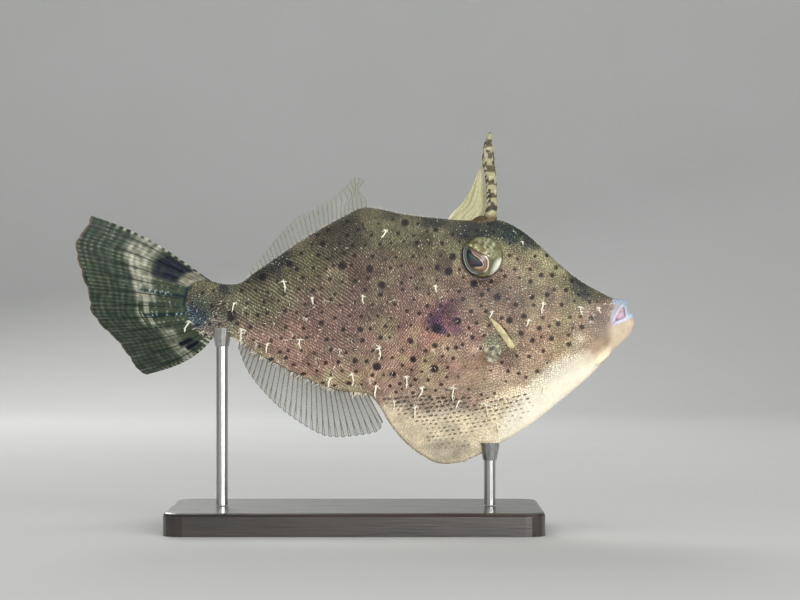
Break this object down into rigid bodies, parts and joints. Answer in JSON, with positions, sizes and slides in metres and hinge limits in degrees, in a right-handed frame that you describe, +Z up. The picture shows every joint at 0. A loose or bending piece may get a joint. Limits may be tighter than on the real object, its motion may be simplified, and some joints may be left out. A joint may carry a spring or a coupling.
{
  "type": "strapweed filefish model",
  "caption": "Life-size still model of a filefish with mottled spotted skin, raised dorsal spine and spread fins, held on a small flat display stand.",
  "frame": {"origin": "centre of the underside of the stand's base", "axes": "+X towards the fish's snout, +Y towards its left side, +Z up"},
  "size_m": [0.195, 0.066, 0.1388],
  "materials": {
    "skin": "painted satin with fine raised scales",
    "eye": "glossy wet",
    "teeth": "glossy",
    "pale_rim": "satin",
    "spine": "rough",
    "membrane": "satin, a little see-through",
    "clear_fin": "see-through between the rays",
    "tail_fin": "satin",
    "stand_base": "black lacquer",
    "stand_rod": "brushed"
  },
  "bodies": {
    "root": {"head": "skin", "lower_jaw": "skin", "torso": "skin", "pelvic_flap": "skin", "tail_stem": "skin", "eye_left": "eye", "eye_right": "eye", "upper_teeth": "teeth", "gill_flap_left": "pale_rim", "gill_flap_right": "pale_rim", "first_dorsal_spine": "spine", "spine_membrane": "membrane", "second_dorsal_fin": "clear_fin", "anal_fin": "clear_fin", "pectoral_fin_left": "clear_fin", "pectoral_fin_right": "clear_fin", "caudal_fin": "tail_fin", "stand_base": "stand_base", "stand_rod_front": "stand_rod", "stand_rod_rear": "stand_rod"}
  },
  "joints": []
}
